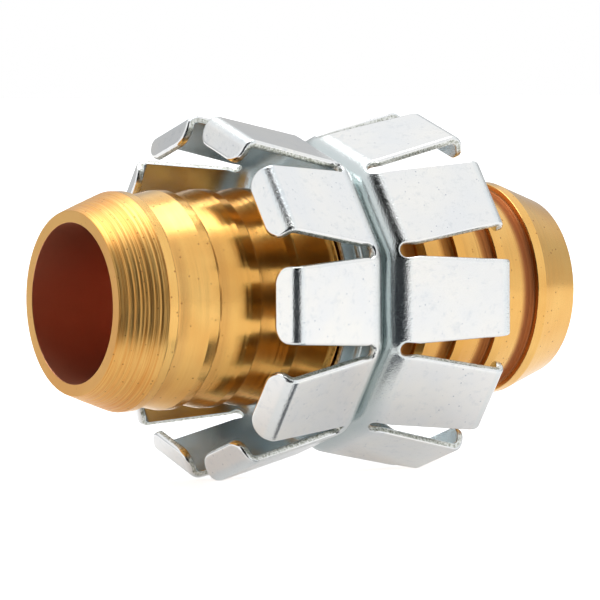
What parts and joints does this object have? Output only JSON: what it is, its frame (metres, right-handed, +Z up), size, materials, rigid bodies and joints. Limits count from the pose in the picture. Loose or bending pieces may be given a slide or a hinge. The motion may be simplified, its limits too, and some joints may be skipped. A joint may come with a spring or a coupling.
{
  "type": "hose mender coupling",
  "caption": "Barbed brass tube that joins two hose ends, with two back-to-back steel clincher cups whose fingers fold down to grip the hose.",
  "frame": {"origin": "middle of the tube, on its axis and halfway between its end faces", "axes": "+X runs along the tube's axis, -Y is the direction of the first finger of each cup, +Z is up"},
  "size_m": [0.0416, 0.0276, 0.028],
  "materials": {
    "brass": "turned, bright",
    "zinc_plated_steel": "bright zinc plate"
  },
  "bodies": {
    "core": {"barbed_tube": "brass", "left_clincher_cup": "zinc_plated_steel", "right_clincher_cup": "zinc_plated_steel"},
    "left_finger_01": {"left_finger_01": "zinc_plated_steel"},
    "left_finger_02": {"left_finger_02": "zinc_plated_steel"},
    "left_finger_03": {"left_finger_03": "zinc_plated_steel"},
    "left_finger_04": {"left_finger_04": "zinc_plated_steel"},
    "left_finger_05": {"left_finger_05": "zinc_plated_steel"},
    "left_finger_06": {"left_finger_06": "zinc_plated_steel"},
    "left_finger_07": {"left_finger_07": "zinc_plated_steel"},
    "left_finger_08": {"left_finger_08": "zinc_plated_steel"},
    "left_finger_09": {"left_finger_09": "zinc_plated_steel"},
    "left_finger_10": {"left_finger_10": "zinc_plated_steel"},
    "right_finger_01": {"right_finger_01": "zinc_plated_steel"},
    "right_finger_02": {"right_finger_02": "zinc_plated_steel"},
    "right_finger_03": {"right_finger_03": "zinc_plated_steel"},
    "right_finger_04": {"right_finger_04": "zinc_plated_steel"},
    "right_finger_05": {"right_finger_05": "zinc_plated_steel"},
    "right_finger_06": {"right_finger_06": "zinc_plated_steel"},
    "right_finger_07": {"right_finger_07": "zinc_plated_steel"},
    "right_finger_08": {"right_finger_08": "zinc_plated_steel"},
    "right_finger_09": {"right_finger_09": "zinc_plated_steel"},
    "right_finger_10": {"right_finger_10": "zinc_plated_steel"}
  },
  "joints": [
    {"name": "left_finger_01_fold", "type": "hinge", "parent": "core", "child": "left_finger_01", "pos_m": [-0.00251, -0.012, 0], "axis": [0, 0, -1], "range_deg": [0, 18]},
    {"name": "left_finger_02_fold", "type": "hinge", "parent": "core", "child": "left_finger_02", "pos_m": [-0.00251, -0.00971, 0.00706], "axis": [0, -0.5878, -0.809], "range_deg": [0, 18]},
    {"name": "left_finger_03_fold", "type": "hinge", "parent": "core", "child": "left_finger_03", "pos_m": [-0.00251, -0.00371, 0.01142], "axis": [0, -0.9511, -0.309], "range_deg": [0, 18]},
    {"name": "left_finger_04_fold", "type": "hinge", "parent": "core", "child": "left_finger_04", "pos_m": [-0.00251, 0.00371, 0.01142], "axis": [0, -0.9511, 0.309], "range_deg": [0, 18]},
    {"name": "left_finger_05_fold", "type": "hinge", "parent": "core", "child": "left_finger_05", "pos_m": [-0.00251, 0.00971, 0.00706], "axis": [0, -0.5878, 0.809], "range_deg": [0, 18]},
    {"name": "left_finger_06_fold", "type": "hinge", "parent": "core", "child": "left_finger_06", "pos_m": [-0.00251, 0.012, 0], "axis": [0, 0, 1], "range_deg": [0, 18]},
    {"name": "left_finger_07_fold", "type": "hinge", "parent": "core", "child": "left_finger_07", "pos_m": [-0.00251, 0.00971, -0.00706], "axis": [0, 0.5878, 0.809], "range_deg": [0, 18]},
    {"name": "left_finger_08_fold", "type": "hinge", "parent": "core", "child": "left_finger_08", "pos_m": [-0.00251, 0.00371, -0.01142], "axis": [0, 0.9511, 0.309], "range_deg": [0, 18]},
    {"name": "left_finger_09_fold", "type": "hinge", "parent": "core", "child": "left_finger_09", "pos_m": [-0.00251, -0.00371, -0.01142], "axis": [0, 0.9511, -0.309], "range_deg": [0, 18]},
    {"name": "left_finger_10_fold", "type": "hinge", "parent": "core", "child": "left_finger_10", "pos_m": [-0.00251, -0.00971, -0.00706], "axis": [0, 0.5878, -0.809], "range_deg": [0, 18]},
    {"name": "right_finger_01_fold", "type": "hinge", "parent": "core", "child": "right_finger_01", "pos_m": [0.00311, -0.012, 0], "axis": [0, 0, 1], "range_deg": [0, 18]},
    {"name": "right_finger_02_fold", "type": "hinge", "parent": "core", "child": "right_finger_02", "pos_m": [0.00311, -0.00971, 0.00706], "axis": [0, 0.5878, 0.809], "range_deg": [0, 18]},
    {"name": "right_finger_03_fold", "type": "hinge", "parent": "core", "child": "right_finger_03", "pos_m": [0.00311, -0.00371, 0.01142], "axis": [0, 0.9511, 0.309], "range_deg": [0, 18]},
    {"name": "right_finger_04_fold", "type": "hinge", "parent": "core", "child": "right_finger_04", "pos_m": [0.00311, 0.00371, 0.01142], "axis": [0, 0.9511, -0.309], "range_deg": [0, 18]},
    {"name": "right_finger_05_fold", "type": "hinge", "parent": "core", "child": "right_finger_05", "pos_m": [0.00311, 0.00971, 0.00706], "axis": [0, 0.5878, -0.809], "range_deg": [0, 18]},
    {"name": "right_finger_06_fold", "type": "hinge", "parent": "core", "child": "right_finger_06", "pos_m": [0.00311, 0.012, 0], "axis": [0, 0, -1], "range_deg": [0, 18]},
    {"name": "right_finger_07_fold", "type": "hinge", "parent": "core", "child": "right_finger_07", "pos_m": [0.00311, 0.00971, -0.00706], "axis": [0, -0.5878, -0.809], "range_deg": [0, 18]},
    {"name": "right_finger_08_fold", "type": "hinge", "parent": "core", "child": "right_finger_08", "pos_m": [0.00311, 0.00371, -0.01142], "axis": [0, -0.9511, -0.309], "range_deg": [0, 18]},
    {"name": "right_finger_09_fold", "type": "hinge", "parent": "core", "child": "right_finger_09", "pos_m": [0.00311, -0.00371, -0.01142], "axis": [0, -0.9511, 0.309], "range_deg": [0, 18]},
    {"name": "right_finger_10_fold", "type": "hinge", "parent": "core", "child": "right_finger_10", "pos_m": [0.00311, -0.00971, -0.00706], "axis": [0, -0.5878, 0.809], "range_deg": [0, 18]}
  ]
}
